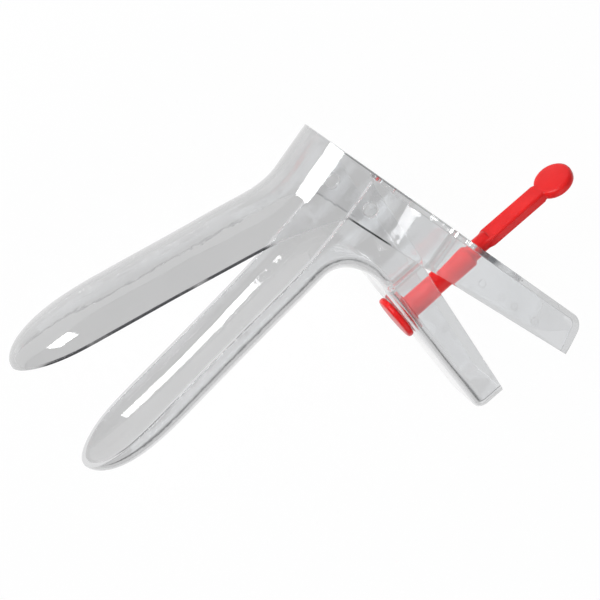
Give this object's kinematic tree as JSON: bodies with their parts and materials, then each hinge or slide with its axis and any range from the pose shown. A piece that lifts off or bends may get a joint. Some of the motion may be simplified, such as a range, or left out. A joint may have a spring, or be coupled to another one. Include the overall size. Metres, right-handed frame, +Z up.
{
  "type": "bivalve speculum",
  "caption": "Hand instrument with hinged trough-shaped blades, channel handles and a turning pin that locks the blades open.",
  "frame": {"origin": "middle of the footprint, on the surface that the instrument lies on", "axes": "+X along the lower blade from the hinge to its tip, +Y down the handles, +Z up along the hinge axis"},
  "size_m": [0.1574, 0.1206, 0.0342],
  "materials": {
    "clear_plastic": "clear polished polystyrene",
    "red_plastic": "glossy moulded plastic"
  },
  "bodies": {
    "lower": {"lower_valve": "clear_plastic"},
    "upper": {"upper_valve": "clear_plastic"},
    "pin": {"locking_pin": "red_plastic"}
  },
  "joints": [
    {"name": "blade_hinge", "type": "hinge", "parent": "lower", "child": "upper", "pos_m": [-0.02736, -0.02054, 0.0171], "axis": [0, 0, 1], "range_deg": [-12.5, 19.4]},
    {"name": "pin_turn", "type": "hinge", "parent": "lower", "child": "pin", "pos_m": [-0.01367, 0.01766, 0.0171], "axis": [-0.9957, 0.0924, 0], "range_deg": [-14, 76]}
  ]
}
